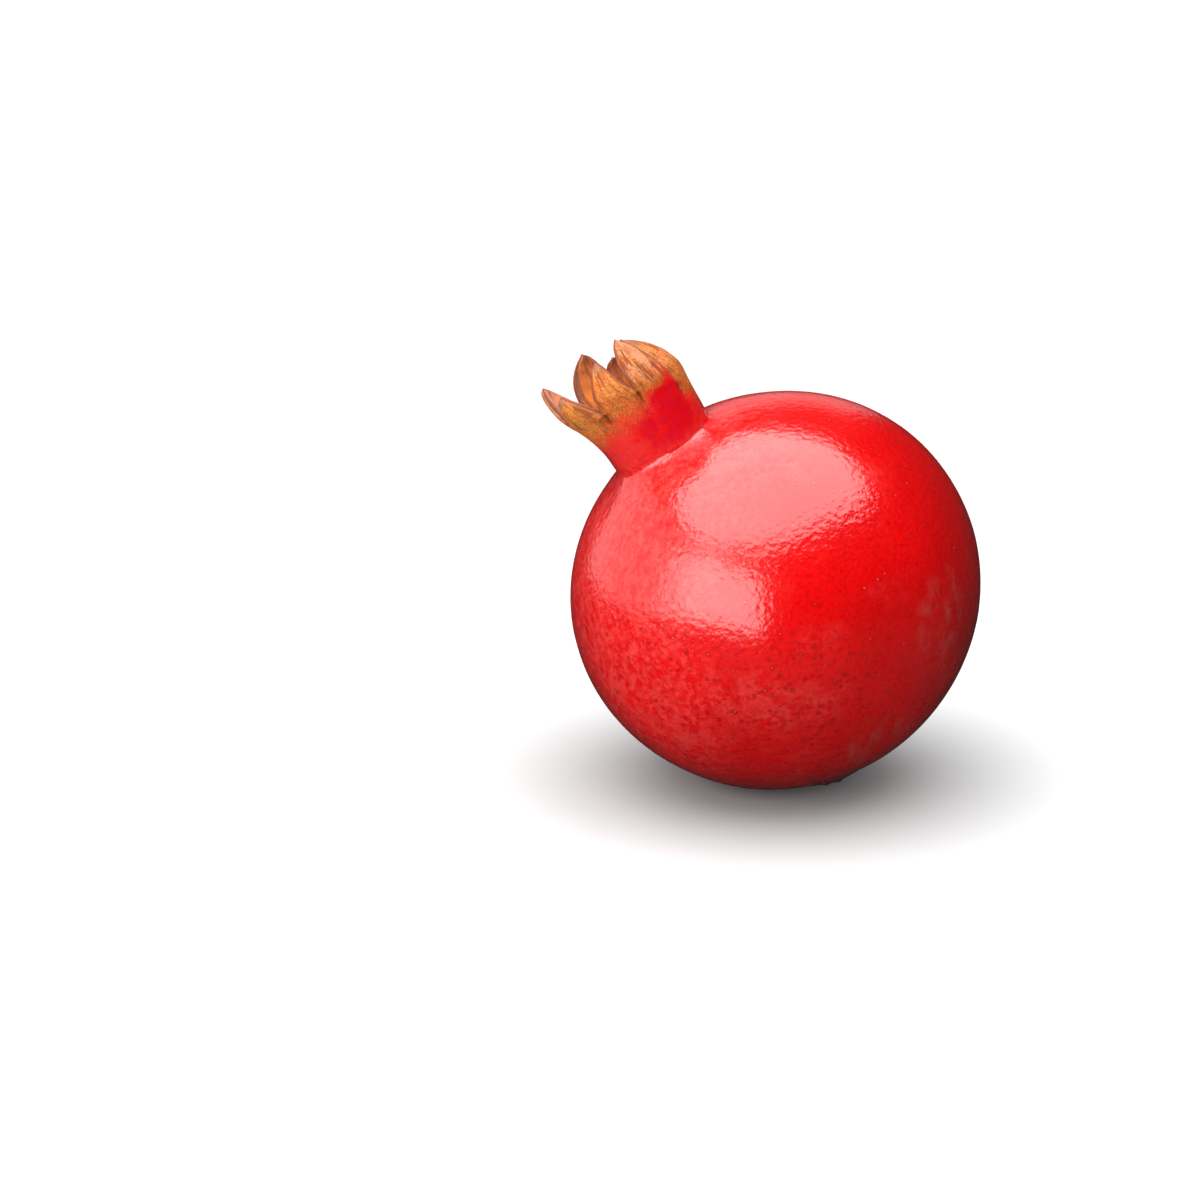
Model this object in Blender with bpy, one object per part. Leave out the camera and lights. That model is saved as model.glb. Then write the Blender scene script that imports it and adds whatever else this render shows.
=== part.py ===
"""A whole pomegranate, resting on a small flat spot with its crown leaning towards -X.

Metres, +Z up. The origin is the middle of the flat spot. The fruit is one solid: the rind, with
the crown of eight sepals that grew on from it. The dried stamens in the crown's cup and the stub
of the stem are pieces of their own.
"""

import math
import random

import bmesh
import bpy
from mathutils import Vector, noise

MM = 0.001

# The body and how it lies
BODY_CENTRE = Vector((1.25, -0.90, 44.12)) * MM
BODY_RADIUS = 46.7 * MM
BODY_HALF_HEIGHT = 44.5 * MM
CROWN_WAY = Vector((-0.580, -0.089, 0.810)).normalized()
STEM_WAY = Vector((0.313, -0.163, -0.936)).normalized()

# Shallow swellings that run from stem to crown: how many round the body, how high, and their phase
SWELLINGS = ((2, 0.4 * MM, 4.4), (3, 0.7 * MM, 1.0), (5, 0.3 * MM, 2.1), (7, 0.34 * MM, 0.5))
UNEVEN_HEIGHT = 0.45 * MM
UNEVEN_SIZE = 34 * MM

# The crown's tube, measured from its root on the shoulder
ROOT = 43.0 * MM
ROOT_FILLET = 3.4 * MM
FRONT_FILLET = 4.0 * MM
TUBE_WAY = Vector((-0.490, -0.072, 0.869)).normalized()
TUBE_KINK = (-3.0 * MM, 5.0 * MM)
TUBE_RADIUS = 12.0 * MM
FLARE_HEIGHT = 13.5 * MM
CREASE_DEPTH = 0.75 * MM
CREASE_HALF_ANGLE = math.radians(5.0)
CREASE_START = 4.0 * MM

# The cup inside the tube
CUP_RADIUS = 9.3 * MM
CUP_FLOOR = 2.6 * MM
CUP_FLOOR_RADIUS = 6.0 * MM
CUP_FILLET_TOP = 6.4 * MM

# Each sepal: the angle and height of the notch where it starts, then its tip's height, its tip's
# distance from the tube's axis, how far the tube flares under it, how far its tip turns round
# the axis, and how long it stays wide before its tip. Angles run in degrees from the front (-Y)
# towards +X, and lengths are in millimetres, heights above the tube's root.
SEPALS = (
    {"from": -30, "notch": 15.6, "tip": 26.0, "reach": 8.8, "flare": 0.8, "turn": -13, "blunt": 2.0},
    {"from": 9, "notch": 16.8, "tip": 28.2, "reach": 8.8, "flare": 0.7, "turn": -12, "blunt": 2.8},
    {"from": 56, "notch": 12.4, "tip": 26.2, "reach": 4.6, "flare": 0.3, "turn": -20, "blunt": 3.0},
    {"from": 104, "notch": 12.8, "tip": 23.4, "reach": 6.4, "flare": 0.2, "turn": -8, "blunt": 2.4},
    {"from": 150, "notch": 13.8, "tip": 21.6, "reach": 7.0, "flare": 0.6, "turn": 13, "blunt": 2.6},
    {"from": 196, "notch": 13.6, "tip": 25.4, "reach": 10.0, "flare": 1.2, "turn": 4, "blunt": 3.0},
    {"from": 240, "notch": 13.2, "tip": 24.0, "reach": 17.8, "flare": 3.7, "turn": 0, "blunt": 2.0},
    {"from": 285, "notch": 13.0, "tip": 22.8, "reach": 16.2, "flare": 3.0, "turn": -8, "blunt": 2.2},
)
SEPAL_THICKNESS = 2.5 * MM
TIP_THINNING = 0.48
SEPAL_NARROWING = 0.9
KEEL = 0.45 * MM
EDGE_ROUND = 0.3 * MM
TIP_DOME = 0.35 * MM

# The stem's socket and the stub in it
COLLAR_HEIGHT = 0.5 * MM
COLLAR_RADIUS = 5.2 * MM
COLLAR_WIDTH = 2.6 * MM
SOCKET_RADIUS = 3.9 * MM
SOCKET_DEPTH = 2.4 * MM
STUB_GAP = 0.35 * MM
STUB_RISE = 1.2 * MM

# The stamens
CUSHION_RADIUS = 7.4 * MM
CUSHION_TOP = 6.2 * MM
FILAMENTS = 32
FILAMENT_RADIUS = 0.36 * MM
ANTHER_RADIUS = 0.68 * MM
STAMEN_CLEARANCE = 0.9 * MM
GOLDEN_SHARE = 0.381966

# How finely the surfaces are divided
COLUMNS_PER_SEPAL = 6
SEPAL_ROWS = 7
EDGE_STEPS = 2
BODY_ROWS = 30
TUBE_ROWS = 5
CUP_ROWS = 3
FILLET_ROWS = 3

COLUMNS = COLUMNS_PER_SEPAL * len(SEPALS)
FULL_TURN = 2 * math.pi


class CoreLine:
    """The fruit's axis, a line from the stem to the crown that bends at the body's centre. The
    rings round it turn smoothly from square to one half of it to square to the other."""

    def __init__(self):
        self.middle = (CROWN_WAY - STEM_WAY).normalized()
        self.bend_way = (CROWN_WAY + STEM_WAY).normalized()
        self.across = self.middle.cross(self.bend_way)
        self.half_bend = math.acos(CROWN_WAY.dot(self.middle))
        front = Vector((0, -1, 0))
        inward = self.turned(self.half_bend + math.pi / 2)
        self.turn = math.atan2(front.dot(self.across), front.dot(inward))

    def turned(self, angle):
        return self.middle * math.cos(angle) + self.bend_way * math.sin(angle)

    def frame(self, distance):
        """A ring's middle, the way it faces, and its front and right."""
        share = max(-1.0, min(1.0, distance / BODY_HALF_HEIGHT))
        bend = self.half_bend * math.sin(share * math.pi / 2)
        along = self.turned(bend)
        inward = self.turned(bend + math.pi / 2)
        front = inward * math.cos(self.turn) + self.across * math.sin(self.turn)
        root = BODY_CENTRE + along * ROOT
        kinked = smooth_step(ROOT + TUBE_KINK[0], ROOT + TUBE_KINK[1], distance)
        along = along.lerp(TUBE_WAY, kinked).normalized()
        front = (front - along * front.dot(along)).normalized()
        return root + along * (distance - ROOT), along, front, along.cross(front)

    def at(self, distance, radius, angle):
        point, _, front, right = self.frame(distance)
        return point + (front * math.cos(angle) + right * math.sin(angle)) * radius


CORE = CoreLine()


def smooth_step(low, high, value):
    share = max(0.0, min(1.0, (value - low) / (high - low)))
    return share * share * (3 - 2 * share)


def smooth_most(a, b, width):
    """The larger of a and b, with a fillet of about this width where they meet."""
    near = max(width - abs(a - b), 0) / width
    return max(a, b) + near * near * width / 4


def sector(index):
    """A sepal's start and end angle, in radians."""
    start = math.radians(SEPALS[index]["from"])
    following = math.radians(SEPALS[(index + 1) % len(SEPALS)]["from"])
    return start, following + FULL_TURN * (index + 1 == len(SEPALS))


def column_angle(column):
    """The angle of a column in the crown, where each sepal has the same number of columns."""
    index, step = divmod(column, COLUMNS_PER_SEPAL)
    start, end = sector(index % len(SEPALS))
    turns = index // len(SEPALS)
    return start + (end - start) * step / COLUMNS_PER_SEPAL + FULL_TURN * turns


def notch_height(column):
    """The height of the ring where the sepals part, above the tube's root."""
    index, step = divmod(column % COLUMNS, COLUMNS_PER_SEPAL)
    low, high = SEPALS[index]["notch"], SEPALS[(index + 1) % len(SEPALS)]["notch"]
    return (low + (high - low) * step / COLUMNS_PER_SEPAL) * MM


def crease(angle, height):
    """How deep the crease under each notch is, at this angle and height up the tube."""
    depth = 0
    for index in range(len(SEPALS)):
        off = math.remainder(angle - sector(index)[0], FULL_TURN)
        depth += math.exp(-((off / CREASE_HALF_ANGLE) ** 2))
    return CREASE_DEPTH * depth * smooth_step(CREASE_START, FLARE_HEIGHT, height)


def flare(angle, height):
    """How far the tube opens at this angle and height: as much as each sepal asks for under its
    middle, and evenly blended between two middles."""
    middles = [sum(sector(index)) / 2 for index in range(len(SEPALS))]
    opened = 0
    for index, middle in enumerate(middles):
        off = math.remainder(angle - middle, FULL_TURN)
        neighbour = middles[(index + (1 if off > 0 else -1)) % len(SEPALS)]
        gap = abs(math.remainder(neighbour - middle, FULL_TURN))
        opened += SEPALS[index]["flare"] * MM * (1 - smooth_step(0, gap, abs(off)))
    return opened * (max(0.0, height) / FLARE_HEIGHT) ** 2


def tube_radius(angle, height):
    return TUBE_RADIUS + flare(angle, height)


def skin_point(distance, angle):
    """A point of the rind's outside, from the stem end up the shoulder and the crown's tube."""
    height = distance - ROOT
    body = BODY_RADIUS * math.sqrt(max(0.0, 1 - (distance / BODY_HALF_HEIGHT) ** 2))
    radius = body
    if distance > 0:
        fillet = ROOT_FILLET + FRONT_FILLET * max(0.0, math.cos(angle)) ** 2
        radius = smooth_most(body, tube_radius(angle, height), fillet)
        radius -= crease(angle, height)
    fullness = body / BODY_RADIUS
    swelling = sum(h * math.cos(count * angle + phase) for count, h, phase in SWELLINGS)
    plain = CORE.at(distance, radius, angle)
    uneven = UNEVEN_HEIGHT * noise.noise(plain / UNEVEN_SIZE)
    return CORE.at(distance, radius + (swelling + uneven) * fullness ** 1.5, angle)


def sepal_point(index, side, share, depth):
    """A point of a sepal. side runs -1 to 1 across it, share 0 to 1 from the notches to the tip,
    and depth 0 to 1 from its outer face to its inner one."""
    sepal = SEPALS[index]
    start, end = sector(index)
    middle, half = (start + end) / 2, (end - start) / 2
    following = SEPALS[(index + 1) % len(SEPALS)]["notch"]
    notch = (sepal["notch"] + (following - sepal["notch"]) * (side + 1) / 2) * MM
    tip, reach = sepal["tip"] * MM, sepal["reach"] * MM

    width = 1 - SEPAL_NARROWING * share ** sepal["blunt"]
    opened = smooth_step(0, 0.3, share)
    angle = middle + half * side
    edge_radius = tube_radius(angle, notch)
    inner_radius = edge_radius - TUBE_RADIUS + CUP_RADIUS
    root_radius = edge_radius + (inner_radius - edge_radius) * depth
    thickness = SEPAL_THICKNESS * (1 - TIP_THINNING * share)
    follow = edge_radius + flare(angle, notch) * (tip - notch) / notch
    outer = edge_radius * (1 - share) ** 2 + follow * 2 * share * (1 - share) + reach * share ** 2
    wall = thickness * opened + (TUBE_RADIUS - CUP_RADIUS) * (1 - opened)
    radius = outer - wall * depth
    radius += KEEL * opened * (1 - side * side) * (1 - depth)
    radius -= CREASE_DEPTH * (1 - opened) * abs(side) ** 8 * (1 - depth)

    half_width = root_radius * math.sin(half * side) * width
    rounding = EDGE_ROUND * opened * (2 * depth - 1) ** 2
    half_width -= math.copysign(min(rounding, abs(half_width) * 0.5), side) * abs(side) ** 3
    sag = root_radius * (1 - math.cos(half * side)) * width * width
    height = notch + (tip - notch) * share
    height += TIP_DOME * share ** 8 * (1 - (2 * depth - 1) ** 2) * (1 - side * side)

    point, along, front, right = CORE.frame(ROOT + height)
    faced = middle + math.radians(sepal["turn"]) * share
    out = front * math.cos(faced) + right * math.sin(faced)
    sideways = along.cross(out)
    return point + out * (radius - sag) + sideways * half_width


def join_rows(bm, first, second, closed=True):
    """Quads between two rows of vertices of equal length."""
    count = len(first)
    for i in range(count if closed else count - 1):
        j = (i + 1) % count
        corners = [first[i], first[j], second[j], second[i]]
        bm.faces.new(corners)


def cap_row(bm, row, point):
    """A fan from a closed row to one point."""
    tip = bm.verts.new(point)
    for i, vertex in enumerate(row):
        bm.faces.new([vertex, row[(i + 1) % len(row)], tip])


def socket_rows():
    """(distance, radius) down the outside of the stem's socket, from its floor to the collar."""
    rim = -BODY_HALF_HEIGHT - COLLAR_HEIGHT * 0.8
    floor = -BODY_HALF_HEIGHT + SOCKET_DEPTH
    return (
        (floor, SOCKET_RADIUS * 0.5),
        (floor, SOCKET_RADIUS * 0.92),
        (floor + (rim - floor) * 0.5, SOCKET_RADIUS),
        (rim, SOCKET_RADIUS),
        (rim - COLLAR_HEIGHT * 0.15, SOCKET_RADIUS + 0.7 * MM),
    )


def outer_rows(bm):
    """Rings of vertices from the floor of the stem's socket to the ring where the sepals part."""
    rows = []
    for distance, radius in socket_rows():
        ring = [CORE.at(distance, radius, column_angle(c)) for c in range(COLUMNS)]
        rows.append([bm.verts.new(point) for point in ring])
    start = math.asin((SOCKET_RADIUS + 1.9 * MM) / BODY_RADIUS)
    end = math.acos(-ROOT / BODY_HALF_HEIGHT) - 0.02
    for step in range(BODY_ROWS + 1):
        around = start + (end - start) * step / BODY_ROWS
        distance = -BODY_HALF_HEIGHT * math.cos(around)
        radius = BODY_RADIUS * math.sin(around)
        near_stem = math.exp(-(((radius - COLLAR_RADIUS) / COLLAR_WIDTH) ** 2))
        lift = COLLAR_HEIGHT * near_stem * (distance < 0)
        along = CORE.frame(distance)[1]
        even = smooth_step(-0.5, 0.6, -math.cos(around))
        ring = []
        for column in range(COLUMNS):
            angle = column_angle(column)
            plain = column_angle(0) + FULL_TURN * column / COLUMNS
            angle = plain + (angle - plain) * even
            ring.append(skin_point(distance, angle) - along * lift)
        rows.append([bm.verts.new(point) for point in ring])
    last = -BODY_HALF_HEIGHT * math.cos(end)
    for step in range(1, TUBE_ROWS + 1):
        ring = []
        for column in range(COLUMNS):
            top = ROOT + notch_height(column)
            distance = last + (top - last) * step / TUBE_ROWS
            ring.append(skin_point(distance, column_angle(column)))
        rows.append([bm.verts.new(point) for point in ring])
    return rows


def cup_rows(bm):
    """Rings of vertices down the cup, from where the sepals part to the edge of its flat floor."""
    rows = []
    for step in range(CUP_ROWS + 1):
        share = step / CUP_ROWS
        ring = []
        for column in range(COLUMNS):
            top = notch_height(column)
            height = top + (CUP_FILLET_TOP - top) * share
            angle = column_angle(column)
            radius = CUP_RADIUS + flare(angle, height) * (1 - share)
            ring.append(CORE.at(ROOT + height, radius, angle))
        rows.append([bm.verts.new(point) for point in ring])
    for step in range(1, FILLET_ROWS + 1):
        turned = math.pi / 2 * step / FILLET_ROWS
        height = CUP_FILLET_TOP - (CUP_FILLET_TOP - CUP_FLOOR) * math.sin(turned)
        radius = CUP_FLOOR_RADIUS + (CUP_RADIUS - CUP_FLOOR_RADIUS) * math.cos(turned)
        ring = [CORE.at(ROOT + height, radius, column_angle(c)) for c in range(COLUMNS)]
        rows.append([bm.verts.new(point) for point in ring])
    return rows


def add_sepals(bm, outer_ring, inner_ring):
    """The eight sepals, each a thick pointed blade that grows on from the two rings."""
    notches = []
    for index in range(len(SEPALS)):
        column = index * COLUMNS_PER_SEPAL
        between = [
            bm.verts.new(sepal_point(index, -1, 0, step / EDGE_STEPS))
            for step in range(1, EDGE_STEPS)
        ]
        notches.append([outer_ring[column], *between, inner_ring[column]])
    for index in range(len(SEPALS)):
        first = index * COLUMNS_PER_SEPAL
        columns = [(first + c) % COLUMNS for c in range(COLUMNS_PER_SEPAL + 1)]
        left, right = notches[index], notches[(index + 1) % len(SEPALS)]
        outer, inner = [outer_ring[c] for c in columns], [inner_ring[c] for c in columns]
        for row in range(1, SEPAL_ROWS + 1):
            share = row / SEPAL_ROWS
            grid = [
                [
                    bm.verts.new(
                        sepal_point(index, 2 * c / COLUMNS_PER_SEPAL - 1, share, d / EDGE_STEPS)
                    )
                    if d in (0, EDGE_STEPS) or c in (0, COLUMNS_PER_SEPAL) or row == SEPAL_ROWS
                    else None
                    for c in range(COLUMNS_PER_SEPAL + 1)
                ]
                for d in range(EDGE_STEPS + 1)
            ]
            join_rows(bm, outer, grid[0], closed=False)
            join_rows(bm, inner, grid[-1], closed=False)
            new_left, new_right = [line[0] for line in grid], [line[-1] for line in grid]
            join_rows(bm, left, new_left, closed=False)
            join_rows(bm, right, new_right, closed=False)
            outer, inner, left, right = grid[0], grid[-1], new_left, new_right
        for near, far in zip(grid, grid[1:]):
            join_rows(bm, near, far, closed=False)


def rest_on_flat_spot(bm):
    """Cuts the body level with the surface that it rests on."""
    everything = list(bm.verts) + list(bm.edges) + list(bm.faces)
    cut = bmesh.ops.bisect_plane(
        bm, geom=everything, dist=1e-6, plane_co=(0, 0, 0), plane_no=(0, 0, 1), clear_inner=True
    )
    loop = [edge for edge in cut["geom_cut"] if isinstance(edge, bmesh.types.BMEdge)]
    bmesh.ops.edgeloop_fill(bm, edges=loop)


def skin_material(name, colour, roughness):
    material = bpy.data.materials.new(name)
    material.use_nodes = True
    shader = material.node_tree.nodes["Principled BSDF"]
    shader.inputs["Base Color"].default_value = (*colour, 1)
    shader.inputs["Roughness"].default_value = roughness
    shader.inputs["Metallic"].default_value = 0
    material.diffuse_color = (*colour, 1)
    return material


def add_object(name, bm, material):
    """Finishes a mesh as one named object, with smooth shading."""
    bmesh.ops.recalc_face_normals(bm, faces=bm.faces)
    mesh = bpy.data.meshes.new(name)
    bm.to_mesh(mesh)
    bm.free()
    mesh.shade_smooth()
    mesh.set_sharp_from_angle(angle=math.radians(50))
    mesh.materials.append(material)
    made = bpy.data.objects.new(name, mesh)
    bpy.context.scene.collection.objects.link(made)
    return made


def make_fruit():
    bm = bmesh.new()
    outside = outer_rows(bm)
    for lower, upper in zip(outside, outside[1:]):
        join_rows(bm, lower, upper)
    floor = -BODY_HALF_HEIGHT + SOCKET_DEPTH
    cap_row(bm, outside[0], CORE.at(floor, 0, 0))
    cup = cup_rows(bm)
    for upper, lower in zip(cup, cup[1:]):
        join_rows(bm, upper, lower)
    cap_row(bm, cup[-1], CORE.at(ROOT + CUP_FLOOR, 0, 0))
    add_sepals(bm, outside[-1], cup[0])
    rest_on_flat_spot(bm)
    material = skin_material("red_rind", (0.62, 0.012, 0.018), 0.38)
    return add_object("fruit", bm, material)


def tube_mesh(path, radii, sides):
    """A closed tube of a few sides along a path, with its own radius at each point."""
    bm = bmesh.new()
    rows = []
    first = (path[1] - path[0]).orthogonal()
    for i, point in enumerate(path):
        ahead = (path[min(i + 1, len(path) - 1)] - path[max(i - 1, 0)]).normalized()
        first = (first - ahead * first.dot(ahead)).normalized()
        second = ahead.cross(first)
        ring = []
        for side in range(sides):
            angle = FULL_TURN * side / sides
            ring.append(point + (first * math.cos(angle) + second * math.sin(angle)) * radii[i])
        rows.append([bm.verts.new(corner) for corner in ring])
    for near, far in zip(rows, rows[1:]):
        join_rows(bm, near, far)
    bm.faces.new(rows[0])
    bm.faces.new(rows[-1])
    return bm


def filament_path(number, rng):
    """The bent line of one dried stamen, rooted in the cushion and clear of the cup's wall."""
    angle = FULL_TURN * (number * GOLDEN_SHARE) % FULL_TURN
    root = CUSHION_RADIUS * (0.45 + 0.42 * (number % 5) / 4)
    top_height = rng.uniform(11.5, 15.0) * MM
    swirl = rng.uniform(0.2, 0.45)
    lean = rng.uniform(0.6, 0.95)
    middle_radius = min(root + 1.0 * MM, CUP_RADIUS - STAMEN_CLEARANCE - ANTHER_RADIUS)
    stations = (
        (CUSHION_TOP - 2.2 * MM, root, 0.0),
        (CUSHION_TOP + 1.0 * MM, root + 0.4 * MM, 0.1),
        (CUSHION_TOP * 0.5 + top_height * 0.5, middle_radius, 0.45),
        (top_height - 1.6 * MM, root * lean, 0.8),
        (top_height - 0.7 * MM, root * lean * 0.92, 0.92),
        (top_height, root * lean * 0.86, 1.0),
    )
    return [CORE.at(ROOT + h, r, angle + swirl * share) for h, r, share in stations]


def cushion_mesh():
    """The low cushion on the cup's floor that the stamens and the style stand in."""
    profile = (
        (CUP_FLOOR + 0.4 * MM, CUP_FLOOR_RADIUS * 0.88),
        (CUP_FLOOR + 1.7 * MM, CUSHION_RADIUS * 0.95),
        (CUP_FLOOR + 2.6 * MM, CUSHION_RADIUS),
        (CUSHION_TOP, CUSHION_RADIUS * 0.72),
        (CUSHION_TOP + 0.3 * MM, CUSHION_RADIUS * 0.3),
    )
    sides = 20
    bm = bmesh.new()
    rows = []
    for height, radius in profile:
        ring = [CORE.at(ROOT + height, radius, FULL_TURN * s / sides) for s in range(sides)]
        rows.append([bm.verts.new(point) for point in ring])
    for lower, upper in zip(rows, rows[1:]):
        join_rows(bm, lower, upper)
    bm.faces.new(rows[0])
    bm.faces.new(rows[-1])
    return bm


def make_stamens():
    """The cushion with its dried stamens and one style, joined by a Boolean union."""
    rng = random.Random(11)
    material = skin_material("dried_stamens", (0.32, 0.17, 0.06), 0.75)
    cushion = add_object("stamens", cushion_mesh(), material)
    loose = bpy.data.collections.new("filaments")
    bpy.context.scene.collection.children.link(loose)
    thin = FILAMENT_RADIUS
    radii = (thin * 1.2, thin, thin * 0.9, thin * 0.85, ANTHER_RADIUS, thin * 0.8)
    for number in range(FILAMENTS):
        filament = add_object(
            f"filament_{number}", tube_mesh(filament_path(number, rng), radii, 4), material
        )
        loose.objects.link(filament)
        bpy.context.scene.collection.objects.unlink(filament)
    heights = (CUSHION_TOP - 1.5 * MM, 10.0 * MM, 14.6 * MM, 15.6 * MM)
    path = [CORE.at(ROOT + h, 0.35 * MM, 0.4) for h in heights]
    style = add_object("style", tube_mesh(path, (0.9 * MM, 0.6 * MM, 0.6 * MM, 0.9 * MM), 6), material)
    loose.objects.link(style)
    bpy.context.scene.collection.objects.unlink(style)

    joined = cushion.modifiers.new("join", "BOOLEAN")
    joined.operation = "UNION"
    joined.operand_type = "COLLECTION"
    joined.collection = loose
    bpy.context.view_layer.objects.active = cushion
    bpy.ops.object.modifier_apply(modifier=joined.name)
    for helper in list(loose.objects):
        bpy.data.objects.remove(helper)
    bpy.data.collections.remove(loose)
    return cushion


def make_stem_stub():
    """What is left of the woody stem, snapped off short in its socket."""
    foot = -BODY_HALF_HEIGHT + SOCKET_DEPTH - STUB_GAP
    end = -BODY_HALF_HEIGHT - STUB_RISE
    radius = SOCKET_RADIUS - STUB_GAP
    profile = (
        (foot, radius * 0.8),
        (foot - 0.7 * MM, radius * 0.9),
        (foot * 0.5 + end * 0.5, radius * 0.95),
        (end + 0.7 * MM, radius * 0.99),
        (end + 0.15 * MM, radius * 0.93),
        (end, radius * 0.72),
        (end + 0.35 * MM, radius * 0.42),
    )
    sides = 24
    bm = bmesh.new()
    rows = []
    for number, (distance, ring_radius) in enumerate(profile):
        ring = []
        for side in range(sides):
            angle = FULL_TURN * side / sides
            fibres = 1 - 0.035 * (1 + math.cos(7 * angle + 0.6)) - 0.02 * (1 + math.cos(3 * angle))
            ragged = 0.18 * MM * math.cos(5 * angle + 1.0) * (number >= 5)
            ring.append(CORE.at(distance + ragged, ring_radius * fibres, angle))
        rows.append([bm.verts.new(point) for point in ring])
    for lower, upper in zip(rows, rows[1:]):
        join_rows(bm, lower, upper)
    cap_row(bm, rows[0], CORE.at(foot, 0, 0))
    cap_row(bm, rows[-1], CORE.at(end + 0.3 * MM, 0, 0))
    return add_object("stem_stub", bm, skin_material("stem_wood", (0.10, 0.055, 0.03), 0.85))


def main():
    for existing in list(bpy.data.objects):
        bpy.data.objects.remove(existing)
    make_fruit()
    make_stamens()
    make_stem_stub()


main()
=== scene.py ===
"""The look of a whole pomegranate: its red rind and brown crown, dried stamens and stem stub.

Metres, +Z up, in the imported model's frame. Each piece repeats the formulas of the solid that it
replaces, with more rows and columns, and adds the relief that is too fine for the solid. The tips
of the sepals are a little broader and rounder than the solid's.
"""

import math
import random
from collections import namedtuple

import bpy
from mathutils import Matrix, Vector, noise


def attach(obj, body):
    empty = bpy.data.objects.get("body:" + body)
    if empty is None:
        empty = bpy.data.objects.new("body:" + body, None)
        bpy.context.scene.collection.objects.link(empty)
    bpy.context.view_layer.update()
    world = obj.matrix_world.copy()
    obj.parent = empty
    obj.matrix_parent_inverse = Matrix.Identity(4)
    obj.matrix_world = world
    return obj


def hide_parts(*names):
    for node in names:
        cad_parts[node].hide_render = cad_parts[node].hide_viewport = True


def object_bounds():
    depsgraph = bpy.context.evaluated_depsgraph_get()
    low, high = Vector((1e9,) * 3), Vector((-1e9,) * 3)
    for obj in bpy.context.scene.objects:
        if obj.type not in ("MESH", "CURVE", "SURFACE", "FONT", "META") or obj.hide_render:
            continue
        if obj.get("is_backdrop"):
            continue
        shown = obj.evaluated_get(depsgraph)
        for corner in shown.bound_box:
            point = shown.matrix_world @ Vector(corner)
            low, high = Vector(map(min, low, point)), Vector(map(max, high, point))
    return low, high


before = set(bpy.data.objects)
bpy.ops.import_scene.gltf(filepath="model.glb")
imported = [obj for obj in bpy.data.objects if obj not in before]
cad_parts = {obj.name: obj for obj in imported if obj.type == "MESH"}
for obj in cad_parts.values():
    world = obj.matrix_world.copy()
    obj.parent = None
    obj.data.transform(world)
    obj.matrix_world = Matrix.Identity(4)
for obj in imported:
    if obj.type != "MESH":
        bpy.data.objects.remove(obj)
CAD_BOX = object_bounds()

MM = 0.001

# The body and how it lies, as in the solid
BODY_CENTRE = Vector((1.25, -0.90, 44.12)) * MM
BODY_RADIUS = 46.7 * MM
BODY_HALF_HEIGHT = 44.5 * MM
CROWN_WAY = Vector((-0.580, -0.089, 0.810)).normalized()
STEM_WAY = Vector((0.313, -0.163, -0.936)).normalized()
SWELLINGS = ((2, 0.4 * MM, 4.4), (3, 0.7 * MM, 1.0), (5, 0.3 * MM, 2.1), (7, 0.34 * MM, 0.5))
UNEVEN_HEIGHT = 0.45 * MM
UNEVEN_SIZE = 34 * MM

# The crown's tube and the cup inside it, measured from its root on the shoulder
ROOT = 43.0 * MM
ROOT_FILLET = 3.4 * MM
FRONT_FILLET = 4.0 * MM
TUBE_WAY = Vector((-0.490, -0.072, 0.869)).normalized()
TUBE_KINK = (-3.0 * MM, 5.0 * MM)
TUBE_RADIUS = 12.0 * MM
FLARE_HEIGHT = 13.5 * MM
CREASE_DEPTH = 0.75 * MM
CREASE_HALF_ANGLE = math.radians(5.0)
CREASE_START = 4.0 * MM
# The painted shade in the creases: how far round each notch it reaches and how far down the tube
CREASE_SHADE_HALF_ANGLE = math.radians(3.0)
CREASE_SHADE_HEIGHT = 8.0 * MM
CUP_RADIUS = 9.3 * MM
CUP_FLOOR = 2.6 * MM
CUP_FLOOR_RADIUS = 6.0 * MM
CUP_FILLET_TOP = 6.4 * MM

# Each sepal: the angle and height of the notch where it starts, its tip's height, its tip's
# distance from the tube's axis, the flare under it, the turn of its tip and how blunt it is, as
# in the solid.
# Then its looks: the height where the red gives way to ochre, from that notch to the next, how
# golden the ochre is, and how much pink shows through it. Angles are in degrees from the front
# (-Y) towards +X, lengths in mm.
Sepal = namedtuple("Sepal", "start notch tip reach flare turn blunt red gold pink")
SEPALS = (
    Sepal(-30, 15.6, 26.0, 8.8, 0.8, -13, 2.0, (11.5, 14.5), 0.25, 0.1),
    Sepal(9, 16.8, 28.2, 8.8, 0.7, -12, 2.8, (14.5, 22.0), 0.6, 0.8),
    Sepal(56, 12.4, 26.2, 4.6, 0.3, -20, 3.0, (11.5, 3.0), 0.2, 0.3),
    Sepal(104, 12.8, 23.4, 6.4, 0.2, -8, 2.4, (3.0, 9.0), 0.6, 0.2),
    Sepal(150, 13.8, 21.6, 7.0, 0.6, 13, 2.6, (9.0, 11.0), 0.4, 0.8),
    Sepal(196, 13.6, 25.4, 10.0, 1.2, 4, 3.0, (11.0, 10.0), 0.2, 0.3),
    Sepal(240, 13.2, 24.0, 17.8, 3.7, 0, 2.0, (10.0, 9.0), 0.3, 1.0),
    Sepal(285, 13.0, 22.8, 16.2, 3.0, -8, 2.2, (8.0, 11.5), 0.8, 0.0),
)

# The side of the crown where its red is deepest
BLUSH_ANGLE = math.radians(24)
BLUSH_WIDTH = math.radians(44)

# The form of every sepal, which opens from the tube's wall over its first share. Its own looks
# take over from the ring's along a shorter share.
SEPAL_OPENING = 0.3
LOOKS_OPENING = 0.25
SEPAL_THICKNESS = 2.5 * MM
TIP_THINNING = 0.48
SEPAL_NARROWING = 0.84
TIP_FROM = 0.88
TIP_FLATNESS = 0.20
KEEL = 0.45 * MM
EDGE_ROUND = 0.3 * MM
TIP_DOME = 0.35 * MM

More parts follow.
